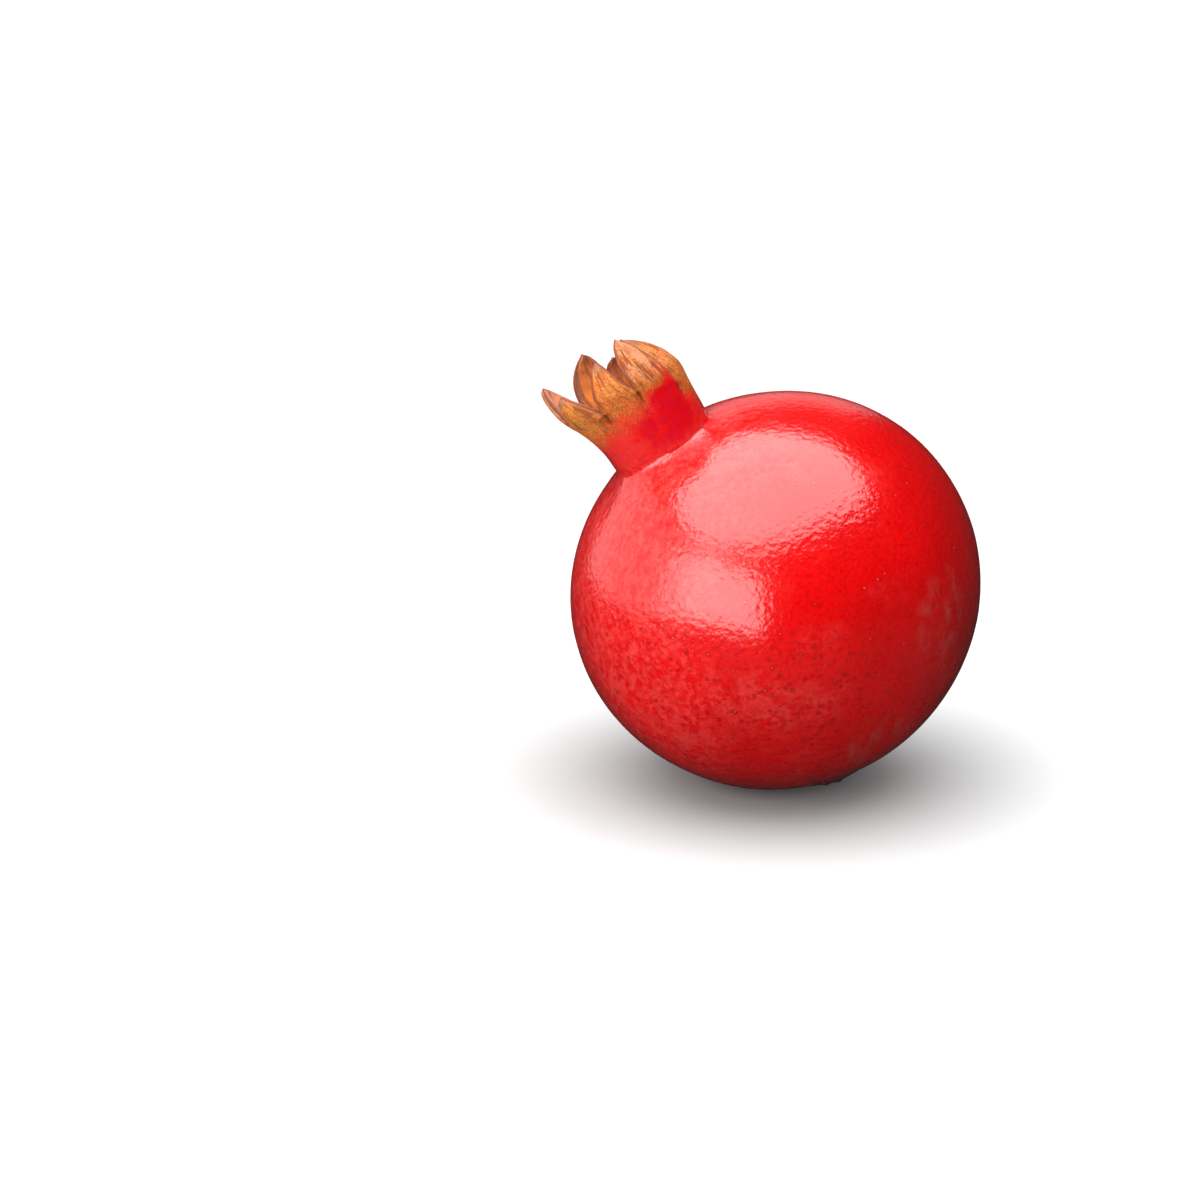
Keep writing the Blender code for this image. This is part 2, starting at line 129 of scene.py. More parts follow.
# The stem's socket and the stub in it, as in the solids
COLLAR_HEIGHT = 0.5 * MM
COLLAR_RADIUS = 5.2 * MM
COLLAR_WIDTH = 2.6 * MM
SOCKET_RADIUS = 3.9 * MM
SOCKET_DEPTH = 2.4 * MM
SOCKET_RIM = 1.2 * MM
STUB_GAP = 0.35 * MM
STUB_RISE = 1.2 * MM

# The stub's end as (rise in mm, share of the radius), from the side to the middle. The break
# starts at a row of the whole profile. Then the grooves (depth, count and phase), the fibres
# between them and the ragged edge.
STUB_END = (
    (1.1, 0.98), (0.7, 0.99), (0.35, 0.97), (0.15, 0.92), (0.03, 0.84), (0.05, 0.70),
    (0.20, 0.55), (0.35, 0.42), (0.40, 0.22),
)
STUB_BREAK_ROW = 7
STUB_GROOVES = ((0.035, 7, 0.6), (0.02, 3, 0.0))
STUB_FIBRE = 0.02
STUB_FIBRES_ROUND = 9
STUB_WAVE = 0.18 * MM
STUB_WAVES_ROUND = 5
STUB_SPLINTER = 0.12 * MM
STUB_SPLINTERS_ROUND = 11

# The stamens: the first ones stand where the solid's do, and thinner ones fill in between
CUSHION_RADIUS = 7.4 * MM
CUSHION_TOP = 6.2 * MM
CUSHION_FOLD = 0.035
CUSHION_FOLDS_ROUND = 4
FILAMENTS = 32
EXTRA_FILAMENTS = 46
FILAMENT_RADIUS = 0.20 * MM
FILAMENT_TAPER = (1.25, 0.75)
EXTRA_THINNESS = 0.8
ANTHER_RADIUS = 0.68 * MM
ANTHER_WIDTH = 0.42 * MM
STAMEN_CLEARANCE = 0.9 * MM
GOLDEN_SHARE = 0.381966
STAMEN_SEED = 11

# One lobe of an anther: its size, and its profile as (place along it, thickness)
LOBE_HALF_LENGTH = ANTHER_WIDTH * 1.5
LOBE_OVERLAP = LOBE_HALF_LENGTH * 0.8
LOBE_OFFSET = ANTHER_WIDTH * 0.42
LOBE_RADIUS = ANTHER_WIDTH * 0.62
LOBE = ((-1, 0.15), (-0.8, 0.62), (-0.4, 0.95), (0, 1.0), (0.4, 0.95), (0.8, 0.62), (1, 0.15))

# The style among the stamens: (height above the tube's root, radius) in mm, and where it stands
STYLE = ((4.7, 0.9), (9.0, 0.6), (12.0, 0.52), (14.8, 0.6), (15.5, 0.85))
STYLE_OFFSET = 0.35 * MM
STYLE_ANGLE = 0.4

# Relief too fine for the solids, all of it cut into their surface: height, then size
RELIEF_CUT = 0.09 * MM
RIPPLES = ((0.055 * MM, 9 * MM), (0.022 * MM, 4 * MM))
PLEAT_HEIGHT = 0.14 * MM
PLEAT_LENGTH = 30 * MM
PLEATS_ROUND = 9.0
ROOT_PLEAT_START = 1.0 * MM
ROOT_PLEAT_REACH = 6.0 * MM
STEM_PLEAT_START = 1.5 * MM
STEM_PLEAT_REACH = 5.0 * MM
VEIN_HEIGHT = 0.13 * MM
VEINS_ACROSS, VEINS_ALONG, VEINS_DEEP = 5.0, 1.3, 9.0
VEIN_SPREAD = 3.1
WAVY_EDGE = 0.05
WAVES_ALONG = 3.5
WAVE_SPREAD = 7.3
WAVE_LAYER = 2.0
RIM_THINNING = 0.5

# How the streaks of colour are drawn out along the fruit, and how far they go into a sepal
GRAIN_STRETCH = 0.16
GRAIN_DEPTH = 5 * MM

# How finely the surfaces are divided. The sepals' rows crowd towards their tips, the body's end a
# little short of the tube's root, and its columns go over from even spacing to the crown's
# between two shares of its half height.
COLUMNS_PER_SEPAL = 26
SEPAL_ROWS = 30
ROW_CROWDING = 1.5
BODY_END_GAP = 0.02
CROWN_COLUMNS = (-0.5, 0.6)
EDGE_STEPS = 6
BODY_ROWS = 170
TUBE_ROWS = 24
CUP_ROWS = 10
FILLET_ROWS = 6
CUSHION_SIDES = 72
FILAMENT_STEPS = 14
FILAMENT_SIDES = 6
LOBE_SIDES = 8
STYLE_SIDES = 12
STUB_SIDES = 96
SHARP_ANGLE = math.radians(50)

COLUMNS = COLUMNS_PER_SEPAL * len(SEPALS)
FULL_TURN = 2 * math.pi

# The camera
CAMERA_PITCH = math.radians(16)
CAMERA_DISTANCE = 0.642
CAMERA_LENS = 85
CAMERA_SENSOR = 36
VIEW_RIGHT = 39.2 * MM
VIEW_UP = 1.8 * MM

# The stage: a white floor, a veil of light over it that grows with the distance from the fruit
# (in two steps, each from one distance to another and to a strength), and a white backdrop
FLOOR_COLOUR = (0.32, 0.32, 0.32)
FLOOR_DROP = 0.05 * MM
VEIL_DROP = 0.04 * MM
FLOOR_HALF = 4.0
VEIL_STEPS = ((0.0, 0.100, 0.75), (0.25, 1.2, 0.30))
BACKDROP_RADIUS = 3.5
BACKDROP_STRENGTH = 1.05

# The lights: place, size and radiance. The front one is a few lamps, each a little narrower than
# the last and further along, so that its reflection fades at one end.
WORLD_STRENGTH = 0.02
TOP_PLACE = (-0.10, -0.11, 0.65)
TOP_SIZE = (1.16, 0.92)
TOP_RADIANCE = 4.0
FRONT_PLACE = (-0.54, -0.58)
FRONT_WAY = (0.80, -0.60)
FRONT_RISE = 0.01
FRONT_RADIANCE = 4.3
FRONT_SIZE = (1.12, 0.66)
FRONT_STEPS = 4
FRONT_NARROWING = 0.09
FILLS = (
    ("side_fill", (-1.15, 0.30, 0.35), (1.7, 0.9), 0.85),
    ("back_fill", (-0.15, 1.2, 0.52), (1.2, 0.6), 0.4),
)

# Reds of the body
DEEP_RED = (0.60, 0.001, 0.002)
BRIGHT_RED = (0.70, 0.0015, 0.002)
# The pinker red serves both the pink mottling and a painted sheen on the left
PINK_RED_AND_SHEEN = (0.72, 0.045, 0.04)
# The dark grain red serves both the dark grain and painted shade towards the bottom
DARK_GRAIN_AND_SHADE = (0.40, 0.0005, 0.002)
PORE_RED = (0.29, 0.0005, 0.003)
PALE_FLECK = (0.78, 0.16, 0.11)
SCUFF_PINK = (0.46, 0.10, 0.085)

# Colours of the crown
CRIMSON = (0.62, 0.002, 0.019)
CORAL = (0.74, 0.026, 0.024)
ORANGE_RED = (0.66, 0.040, 0.016)
GOLDEN = (0.60, 0.225, 0.034)
PALE_OCHRE = (0.72, 0.350, 0.105)
BURNT_ORANGE = (0.50, 0.080, 0.010)
OLIVE = (0.22, 0.095, 0.020)
ORANGE_BROWN = (0.54, 0.145, 0.024)
SHELL_PINK = (0.74, 0.300, 0.190)
RUSSET = (0.22, 0.04, 0.016)
# A dark brown for painted shade, in the creases and deep in the cup
PAINTED_SHADE_BROWN = (0.07, 0.022, 0.010)
GREY_BROWN = (0.27, 0.120, 0.080)
INNER_ORANGE = (0.72, 0.21, 0.035)

# Colours of the stamens and the stem stub. A mark or a noise blends each pair.
THREAD_COLOURS = ((0.42, 0.24, 0.10), (0.26, 0.12, 0.05))
ANTHER_COLOURS = ((0.50, 0.33, 0.12), (0.20, 0.09, 0.04))
CUSHION_RUSSET = (0.16, 0.06, 0.03)
STAMEN_MOTTLE = (0.12, 0.05, 0.025)
BARK_COLOURS = ((0.05, 0.027, 0.016), (0.15, 0.085, 0.05))
TORN_COLOURS = ((0.13, 0.075, 0.04), (0.30, 0.19, 0.11))

# Dull streaky scuffs: the way from the body's centre, and the size
SCUFFS = (
    (Vector((0.762, -0.644, 0.068)), 13 * MM),
    (Vector((0.471, -0.662, -0.583)), 14 * MM),
    (Vector((-0.30, 0.88, -0.10)), 15 * MM),
    (Vector((0.75, 0.52, 0.38)), 11 * MM),
)

# How far the finest grain of each material stands, for the light alone
RIND_BUMP = 0.13 * MM
STAMEN_BUMP = 0.05 * MM
WOOD_BUMP = 0.15 * MM


class CoreLine:
    """The fruit's axis, a line from the stem to the crown that bends at the body's centre. The
    rings round it turn smoothly from square to one half of it to square to the other."""

    def __init__(self):
        self.middle = (CROWN_WAY - STEM_WAY).normalized()
        self.bend_way = (CROWN_WAY + STEM_WAY).normalized()
        self.across = self.middle.cross(self.bend_way)
        self.half_bend = math.acos(CROWN_WAY.dot(self.middle))
        front = Vector((0, -1, 0))
        inward = self.turned(self.half_bend + math.pi / 2)
        self.turn = math.atan2(front.dot(self.across), front.dot(inward))

    def turned(self, angle):
        return self.middle * math.cos(angle) + self.bend_way * math.sin(angle)

    def frame(self, distance):
        """A ring's middle, the way it faces, and its front and right."""
        share = max(-1.0, min(1.0, distance / BODY_HALF_HEIGHT))
        bend = self.half_bend * math.sin(share * math.pi / 2)
        along = self.turned(bend)
        inward = self.turned(bend + math.pi / 2)
        front = inward * math.cos(self.turn) + self.across * math.sin(self.turn)
        root = BODY_CENTRE + along * ROOT
        kinked = smooth_step(ROOT + TUBE_KINK[0], ROOT + TUBE_KINK[1], distance)
        along = along.lerp(TUBE_WAY, kinked).normalized()
        front = (front - along * front.dot(along)).normalized()
        return root + along * (distance - ROOT), along, front, along.cross(front)

    def at(self, distance, radius, angle):
        point, _, front, right = self.frame(distance)
        return point + (front * math.cos(angle) + right * math.sin(angle)) * radius


CORE = CoreLine()


def smooth_step(low, high, value):
    share = max(0.0, min(1.0, (value - low) / (high - low)))
    return share * share * (3 - 2 * share)


def smooth_most(a, b, width):
    """The larger of a and b, with a fillet of about this width where they meet."""
    near = max(width - abs(a - b), 0) / width
    return max(a, b) + near * near * width / 4


def sector(index):
    """A sepal's start and end angle, in radians."""
    start = math.radians(SEPALS[index].start)
    following = math.radians(SEPALS[(index + 1) % len(SEPALS)].start)
    return start, following + FULL_TURN * (index + 1 == len(SEPALS))


SECTORS = [sector(index) for index in range(len(SEPALS))]
MIDDLES = [sum(both) / 2 for both in SECTORS]


def column_angle(column):
    """The angle of a column in the crown, where each sepal has the same number of columns."""
    index, step = divmod(column, COLUMNS_PER_SEPAL)
    start, end = SECTORS[index]
    return start + (end - start) * step / COLUMNS_PER_SEPAL


ANGLES = [column_angle(column) for column in range(COLUMNS)]


def column_side(column):
    """Where a column lies across its sepal, -1 to 1."""
    return 2 * (column % COLUMNS_PER_SEPAL) / COLUMNS_PER_SEPAL - 1


def notch_height(column):
    """The height of the ring where the sepals part, above the tube's root."""
    index, step = divmod(column, COLUMNS_PER_SEPAL)
    low, high = SEPALS[index].notch, SEPALS[(index + 1) % len(SEPALS)].notch
    return (low + (high - low) * step / COLUMNS_PER_SEPAL) * MM


def notch_nearness(angle, reach=CREASE_HALF_ANGLE):
    """1 under a notch, falling to 0 within a few degrees of it."""
    near = 0
    for start, _ in SECTORS:
        off = math.remainder(angle - start, FULL_TURN)
        near += math.exp(-((off / reach) ** 2))
    return near


def blended(angle, key):
    """A value of the sepals at this angle: each one's own under its middle, and evenly blended
    between two middles."""
    value = 0
    for index, middle in enumerate(MIDDLES):
        off = math.remainder(angle - middle, FULL_TURN)
        neighbour = MIDDLES[(index + (1 if off > 0 else -1)) % len(SEPALS)]
        gap = abs(math.remainder(neighbour - middle, FULL_TURN))
        value += getattr(SEPALS[index], key) * (1 - smooth_step(0, gap, abs(off)))
    return value


def flare(angle, height):
    """How far the tube opens at this angle and height."""
    return blended(angle, "flare") * MM * (max(0.0, height) / FLARE_HEIGHT) ** 2


def crease(angle, height):
    """How deep the crease under each notch is, at this angle and height up the tube."""
    if height <= CREASE_START:
        return 0
    return CREASE_DEPTH * notch_nearness(angle) * smooth_step(CREASE_START, FLARE_HEIGHT, height)


def round_place(angle, size, height=0.0):
    """A point on a circle, for textures that meet again all the way round."""
    return Vector((math.cos(angle) * size, math.sin(angle) * size, height))


def grain_place(angle, distance):
    """A point for textures that run in long streaks from the stem to the crown's tips."""
    return round_place(angle, TUBE_RADIUS, distance * GRAIN_STRETCH)


def pleats(angle, distance):
    """Uneven folds that run up the fruit, about -1 to 1."""
    return noise.noise(round_place(angle, PLEATS_ROUND, distance / PLEAT_LENGTH))


def skin_relief(plain, distance, angle, radius):
    """The low relief of the rind: soft ripples all over, and pleats round the crown's root and
    the stem."""
    relief = sum(height * noise.noise(plain / size) for height, size in RIPPLES)
    if distance < 0:
        near = math.exp(-(((radius - COLLAR_RADIUS - STEM_PLEAT_START) / STEM_PLEAT_REACH) ** 2))
    else:
        near = math.exp(-(((distance - ROOT - ROOT_PLEAT_START) / ROOT_PLEAT_REACH) ** 2))
    return relief + PLEAT_HEIGHT * near * pleats(angle, distance) - RELIEF_CUT


def skin_point(distance, angle):
    """A point of the rind's outside, from the stem end up the shoulder and the crown's tube."""
    height = distance - ROOT
    body = BODY_RADIUS * math.sqrt(max(0.0, 1 - (distance / BODY_HALF_HEIGHT) ** 2))
    radius = body
    if distance > 0:
        tube = TUBE_RADIUS + (flare(angle, height) if height > 0 else 0)
        fillet = ROOT_FILLET + FRONT_FILLET * max(0.0, math.cos(angle)) ** 2
        radius = smooth_most(body, tube, fillet)
        radius -= crease(angle, height)
    fullness = body / BODY_RADIUS
    swelling = sum(h * math.cos(count * angle + phase) for count, h, phase in SWELLINGS)
    plain = CORE.at(distance, radius, angle)
    uneven = UNEVEN_HEIGHT * noise.noise(plain / UNEVEN_SIZE)
    relief = skin_relief(plain, distance, angle, radius)
    return CORE.at(distance, radius + (swelling + uneven) * fullness ** 1.5 + relief, angle)


def sepal_point(index, side, share, depth):
    """A point of a sepal. side runs -1 to 1 across it, share 0 to 1 from the notches to the tip,
    and depth 0 to 1 from its outer face to its inner one."""
    sepal = SEPALS[index]
    start, end = SECTORS[index]
    middle, half = (start + end) / 2, (end - start) / 2
    following = SEPALS[(index + 1) % len(SEPALS)].notch
    notch = (sepal.notch + (following - sepal.notch) * (side + 1) / 2) * MM
    tip, reach = sepal.tip * MM, sepal.reach * MM

    opened = smooth_step(0, SEPAL_OPENING, share)
    wave = noise.noise(Vector((index * WAVE_SPREAD + side, share * WAVES_ALONG, WAVE_LAYER)))
    width = (1 - SEPAL_NARROWING * share ** sepal.blunt) * (1 + WAVY_EDGE * opened * wave)
    angle = middle + half * side
    edge_radius = TUBE_RADIUS + flare(angle, notch)
    inner_radius = edge_radius - TUBE_RADIUS + CUP_RADIUS
    root_radius = edge_radius + (inner_radius - edge_radius) * depth
    thickness = SEPAL_THICKNESS * (1 - TIP_THINNING * share)
    follow = edge_radius + flare(angle, notch) * (tip - notch) / notch
    outer = edge_radius * (1 - share) ** 2 + follow * 2 * share * (1 - share) + reach * share ** 2
    wall = thickness * opened + (TUBE_RADIUS - CUP_RADIUS) * (1 - opened)
    ending = max(0.0, share - TIP_FROM) / (1 - TIP_FROM)
    rounded = math.sqrt(1 - (1 - TIP_FLATNESS) * ending ** 2)
    rim = 1 - (1 - RIM_THINNING * opened * side ** 4) * rounded
    radius = outer - wall * (rim / 2 + depth * (1 - rim))
    radius += KEEL * opened * (1 - side * side) * (1 - depth) * rounded
    radius -= CREASE_DEPTH * (1 - opened) * abs(side) ** 8 * (1 - depth)
    across = side * VEINS_ACROSS + index * VEIN_SPREAD
    vein = noise.noise(Vector((across, share * VEINS_ALONG, depth * VEINS_DEEP)))
    radius += VEIN_HEIGHT * vein * opened * (1 - 2 * depth) * (1 - share ** 6)

    half_width = root_radius * math.sin(half * side) * width * rounded
    rounding = EDGE_ROUND * opened * (2 * depth - 1) ** 2
    half_width -= math.copysign(min(rounding, abs(half_width) * 0.5), side) * abs(side) ** 3
    sag = root_radius * (1 - math.cos(half * side)) * width * width
    height = notch + (tip - notch) * share
    height += TIP_DOME * share ** 8 * (1 - (2 * depth - 1) ** 2) * (1 - side * side)

    point, along, front, right = CORE.frame(ROOT + height)
    faced = middle + math.radians(sepal.turn) * share
    out = front * math.cos(faced) + right * math.sin(faced)
    sideways = along.cross(out)
    return point + out * (radius - sag) + sideways * half_width


class Surface:
    """A mesh in the making. Each point carries the marks that the materials read."""

    marks = ("rise", "share", "side", "inner", "notch", "red", "gold", "pink", "blush")

    def __init__(self):
        self.points = []
        self.faces = []
        self.values = {mark: [] for mark in self.marks}
        self.grain = []

    def add(self, point, grain=(0, 0, 0), **values):
        self.points.append((point[0], point[1], max(point[2], 0.0)))
        self.grain.extend(grain)
        for mark in self.marks:
            self.values[mark].append(values.get(mark, 0.0))
        return len(self.points) - 1

    def join(self, first, second, closed=True):
        """Quads between two rows of equal length."""
        count = len(first)
        for i in range(count if closed else count - 1):
            j = (i + 1) % count
            self.faces.append((first[i], first[j], second[j], second[i]))

    def join_all(self, rows, closed=True):
        for first, second in zip(rows, rows[1:]):
            self.join(first, second, closed)

    def cap(self, row, point, **values):
        tip = self.add(point, **values)
        for i, corner in enumerate(row):
            self.faces.append((corner, row[(i + 1) % len(row)], tip))

    def finish(self, name, material):
        mesh = bpy.data.meshes.new(name)
        mesh.from_pydata(self.points, [], self.faces)
        for mark, values in self.values.items():
            mesh.attributes.new(mark, "FLOAT", "POINT").data.foreach_set("value", values)
        grain = mesh.attributes.new("grain", "FLOAT_VECTOR", "POINT")
        grain.data.foreach_set("vector", self.grain)
        mesh.validate()
        made = bpy.data.objects.new(name, mesh)
        bpy.context.scene.collection.objects.link(made)
        bpy.context.view_layer.objects.active = made
        made.select_set(True)
        bpy.ops.object.mode_set(mode="EDIT")
        bpy.ops.mesh.select_all(action="SELECT")
        bpy.ops.mesh.normals_make_consistent(inside=False)
        bpy.ops.object.mode_set(mode="OBJECT")
        made.select_set(False)
        mesh.shade_smooth()
        mesh.set_sharp_from_angle(angle=SHARP_ANGLE)
        mesh.materials.append(material)
        return made


def red_height(angle):
    """The height in mm where the red ends. It steps at a notch where its two sepals differ."""
    for (start, end), sepal in zip(SECTORS, SEPALS):
        share = ((angle - start) % FULL_TURN) / (end - start)
        if share < 1:
            low, high = sepal.red
            return low + (high - low) * share
    return SEPALS[0].red[0]


def crown_marks(angle):
    """The looks of the crown at this angle."""
    looks = {key: blended(angle, key) for key in ("gold", "pink")}
    off = math.remainder(angle - BLUSH_ANGLE, FULL_TURN)
    blush = math.exp(-((off / BLUSH_WIDTH) ** 2))
    return {"red": red_height(angle), "blush": blush, **looks}


def socket_rows():
    """(distance, radius) down the outside of the stem's socket, from its floor to the collar."""
    rim = -BODY_HALF_HEIGHT - COLLAR_HEIGHT * 0.8
    floor = -BODY_HALF_HEIGHT + SOCKET_DEPTH
    return (
        (floor, SOCKET_RADIUS * 0.5),
        (floor, SOCKET_RADIUS * 0.92),
        (floor + (rim - floor) * 0.25, SOCKET_RADIUS * 0.99),
        (floor + (rim - floor) * 0.6, SOCKET_RADIUS),
        (rim, SOCKET_RADIUS),
        (rim - COLLAR_HEIGHT * 0.15, SOCKET_RADIUS + 0.35 * MM),
        (rim - COLLAR_HEIGHT * 0.15, SOCKET_RADIUS + 0.7 * MM),
    )


def outer_rows(skin):
    """Rings of points from the floor of the stem's socket to the ring where the sepals part."""
    rows = []
    looks = [crown_marks(angle) for angle in ANGLES]
    near = [notch_nearness(angle, CREASE_SHADE_HALF_ANGLE) for angle in ANGLES]
    for distance, radius in socket_rows():
        rise = (distance - ROOT) / MM
        rows.append([skin.add(CORE.at(distance, radius, angle), rise=rise) for angle in ANGLES])
    start = math.asin((SOCKET_RADIUS + SOCKET_RIM) / BODY_RADIUS)
    end = math.acos(-ROOT / BODY_HALF_HEIGHT) - BODY_END_GAP
    for step in range(BODY_ROWS + 1):
        around = start + (end - start) * step / BODY_ROWS
        distance = -BODY_HALF_HEIGHT * math.cos(around)
        radius = BODY_RADIUS * math.sin(around)
        near_stem = math.exp(-(((radius - COLLAR_RADIUS) / COLLAR_WIDTH) ** 2))
        lift = COLLAR_HEIGHT * near_stem * (distance < 0)
        along = CORE.frame(distance)[1]
        spaced = smooth_step(*CROWN_COLUMNS, -math.cos(around))
        ring = []
        for column in range(COLUMNS):
            plain = ANGLES[0] + FULL_TURN * column / COLUMNS
            angle = plain + (ANGLES[column] - plain) * spaced
            point = skin_point(distance, angle) - along * lift
            rise = (distance - ROOT) / MM
            grain = grain_place(angle, distance)
            ring.append(skin.add(point, grain, rise=rise, **looks[column]))
        rows.append(ring)
    last = -BODY_HALF_HEIGHT * math.cos(end)
    for step in range(1, TUBE_ROWS + 1):
        ring = []
        for column, angle in enumerate(ANGLES):
            top = ROOT + notch_height(column)
            distance = last + (top - last) * step / TUBE_ROWS
            rise = (distance - ROOT) / MM
            # The painted crease shade: strongest under each notch, fading down the tube
            notch = near[column] * smooth_step(CREASE_SHADE_HEIGHT, 0, top - distance)
            grain = grain_place(angle, distance)
            side = column_side(column)
            point = skin_point(distance, angle)
            ring.append(skin.add(point, grain, rise=rise, side=side, notch=notch, **looks[column]))
        rows.append(ring)
    return rows


def cup_rows(skin):
    """Rings of points down the cup, from where the sepals part to the edge of its flat floor."""
    rows = []
    for step in range(CUP_ROWS + 1):
        share = step / CUP_ROWS
        ring = []
        for column, angle in enumerate(ANGLES):
            top = notch_height(column)
            height = top + (CUP_FILLET_TOP - top) * share
            radius = CUP_RADIUS + flare(angle, height) * (1 - share)
            grain = grain_place(angle, ROOT + height)
            point = CORE.at(ROOT + height, radius, angle)
            side = column_side(column)
            ring.append(skin.add(point, grain, rise=height / MM, side=side, inner=1))
        rows.append(ring)
    for step in range(1, FILLET_ROWS + 1):
        turned = math.pi / 2 * step / FILLET_ROWS
        height = CUP_FILLET_TOP - (CUP_FILLET_TOP - CUP_FLOOR) * math.sin(turned)
        radius = CUP_FLOOR_RADIUS + (CUP_RADIUS - CUP_FLOOR_RADIUS) * math.cos(turned)
        ring = []
        for angle in ANGLES:
            grain = grain_place(angle, ROOT + height)
            point = CORE.at(ROOT + height, radius, angle)
            ring.append(skin.add(point, grain, rise=height / MM, inner=1))
        rows.append(ring)
    return rows


def add_sepal_point(skin, index, side, share, depth):
    """One point of a sepal, with its marks."""
    start, end = SECTORS[index]
    angle = (start + end) / 2 + (end - start) / 2 * side
    sepal = SEPALS[index]
    height = sepal.notch + (sepal.tip - sepal.notch) * share
    opened = smooth_step(0, LOOKS_OPENING, share)
    looks = crown_marks(angle)
    for key in ("gold", "pink"):
        looks[key] += (getattr(sepal, key) - looks[key]) * opened
    # The notch mark carries the painted crease shade onto the sepal's edges at its foot
    return skin.add(
        sepal_point(index, side, share, depth),
        grain_place(angle, ROOT + height * MM) + Vector((0, 0, depth * GRAIN_DEPTH)),
        rise=height, share=share, side=side, inner=depth,
        notch=(abs(side) ** 8) * (1 - opened), **looks,
    )


def add_sepals(skin, outer_ring, inner_ring):
    """The eight sepals, each a thick pointed blade that grows on from the two rings."""
    notches = []
    for index in range(len(SEPALS)):
        column = index * COLUMNS_PER_SEPAL
        between = [
            add_sepal_point(skin, index, -1, 0, step / EDGE_STEPS) for step in range(1, EDGE_STEPS)
        ]
        notches.append([outer_ring[column], *between, inner_ring[column]])
    for index in range(len(SEPALS)):
        first = index * COLUMNS_PER_SEPAL
        columns = [(first + c) % COLUMNS for c in range(COLUMNS_PER_SEPAL + 1)]
        left, right = notches[index], notches[(index + 1) % len(SEPALS)]
        outer, inner = [outer_ring[c] for c in columns], [inner_ring[c] for c in columns]
        for row in range(1, SEPAL_ROWS + 1):
            share = 1 - (1 - row / SEPAL_ROWS) ** ROW_CROWDING
            grid = []
            for d in range(EDGE_STEPS + 1):
                line = []
                for c in range(COLUMNS_PER_SEPAL + 1):
                    inside = 0 < d < EDGE_STEPS and 0 < c < COLUMNS_PER_SEPAL
                    if inside and row < SEPAL_ROWS:
                        line.append(None)
                        continue
                    side = 2 * c / COLUMNS_PER_SEPAL - 1
                    line.append(add_sepal_point(skin, index, side, share, d / EDGE_STEPS))
                grid.append(line)
            skin.join(outer, grid[0], closed=False)
            skin.join(inner, grid[-1], closed=False)
            new_left, new_right = [line[0] for line in grid], [line[-1] for line in grid]
            skin.join(left, new_left, closed=False)
            skin.join(right, new_right, closed=False)
            outer, inner, left, right = grid[0], grid[-1], new_left, new_right
        # The last row is a full grid, which closes the tip
        skin.join_all(grid, closed=False)


def make_fruit_skin():
    skin = Surface()
    outside = outer_rows(skin)
    skin.join_all(outside)
    floor = -BODY_HALF_HEIGHT + SOCKET_DEPTH
    skin.cap(outside[0], CORE.at(floor, 0, 0), rise=(floor - ROOT) / MM)
    cup = cup_rows(skin)
    skin.join_all(cup)
    skin.cap(cup[-1], CORE.at(ROOT + CUP_FLOOR, 0, 0), rise=CUP_FLOOR / MM, inner=1)
    add_sepals(skin, outside[-1], cup[0])
    piece = skin.finish("fruit_skin", rind_material())
    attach(piece, "root")
    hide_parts("fruit")


def add_tube(surface, path, radii, sides, **marks):
    """A closed tube of a few sides along a path, with its own radius at each point."""
    rows = []
    first = (path[1] - path[0]).orthogonal()
    for i, point in enumerate(path):
        ahead = (path[min(i + 1, len(path) - 1)] - path[max(i - 1, 0)]).normalized()
        first = (first - ahead * first.dot(ahead)).normalized()
        second = ahead.cross(first)
        ring = []
        for side in range(sides):
            angle = FULL_TURN * side / sides
            corner = point + (first * math.cos(angle) + second * math.sin(angle)) * radii[i]
            share = i / (len(path) - 1)
            ring.append(surface.add(corner, share=share, **marks))
        rows.append(ring)
    surface.join_all(rows)
    surface.cap(rows[0], path[0], **marks)
    surface.cap(rows[-1], path[-1], share=1, **marks)


def smooth_path(stations, steps):
    """Points at even steps along a smooth line through (height, radius, angle) stations."""
    count = len(stations) - 1
    path = []
    for step in range(steps + 1):
        place = step / steps * count
        i = min(int(place), count - 1)
        t = place - i
        before, here = stations[max(i - 1, 0)], stations[i]
        there, after = stations[i + 1], stations[min(i + 2, count)]
        point = []
        for a, b, c, d in zip(before, here, there, after):
            bend = (2 * a - 5 * b + 4 * c - d) * t * t + (3 * b - a - 3 * c + d) * t ** 3
            point.append((2 * b + (c - a) * t + bend) / 2)
        path.append(CORE.at(ROOT + point[0], point[1], point[2]))
    return path


def filament_stations(number, rng):
    """(height, radius, angle) along one dried stamen, as in the solid."""
    angle = FULL_TURN * (number * GOLDEN_SHARE) % FULL_TURN
    root = CUSHION_RADIUS * (0.45 + 0.42 * (number % 5) / 4)
    top_height = rng.uniform(11.5, 15.0) * MM
    swirl = rng.uniform(0.2, 0.45)
    lean = rng.uniform(0.6, 0.95)
    middle_radius = min(root + 1.0 * MM, CUP_RADIUS - STAMEN_CLEARANCE - ANTHER_RADIUS)
    stations = (
        (CUSHION_TOP - 2.2 * MM, root, 0.0),
        (CUSHION_TOP + 1.0 * MM, root + 0.4 * MM, 0.1),
        (CUSHION_TOP * 0.5 + top_height * 0.5, middle_radius, 0.45),
        (top_height - 1.6 * MM, root * lean, 0.8),
        (top_height - 0.7 * MM, root * lean * 0.92, 0.92),
        (top_height, root * lean * 0.86, 1.0),
    )
    return [(h, r, angle + swirl * share) for h, r, share in stations]


